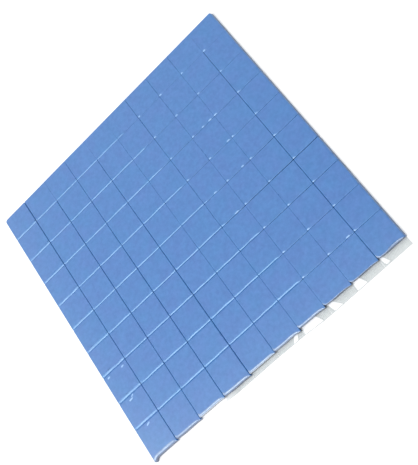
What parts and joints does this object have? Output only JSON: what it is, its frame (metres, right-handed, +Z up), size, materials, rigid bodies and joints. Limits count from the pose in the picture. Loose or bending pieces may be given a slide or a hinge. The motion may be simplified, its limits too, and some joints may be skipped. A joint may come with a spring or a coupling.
{
  "type": "thermal pad sheet",
  "caption": "Thin square sheet of soft blue silicone pads, cut in a grid on a clear liner film; single pads peel off to carry heat from a chip to its heatsink.",
  "frame": {"origin": "on the floor under the middle of the sheet's footprint, the film's lip included", "axes": "+Z up, out of the pads' upper faces; +X to the right along the front edge; +Y from the front edge with the film's lip to the back edge"},
  "size_m": [0.1, 0.1028, 0.0016],
  "materials": {
    "pad_silicone": "soft satin grey-blue silicone, faintly mottled",
    "liner_film": "thin clear polyester film, slightly hazy with a gloss"
  },
  "bodies": {
    "root": {"liner_film": "liner_film", "pad_strip_01": "pad_silicone", "pad_strip_02": "pad_silicone", "pad_strip_03": "pad_silicone", "pad_strip_04": "pad_silicone", "pad_strip_05": "pad_silicone", "pad_strip_06": "pad_silicone", "pad_strip_07": "pad_silicone", "pad_strip_08": "pad_silicone", "pad_strip_09": "pad_silicone", "pad_strip_10": "pad_silicone"}
  },
  "joints": []
}
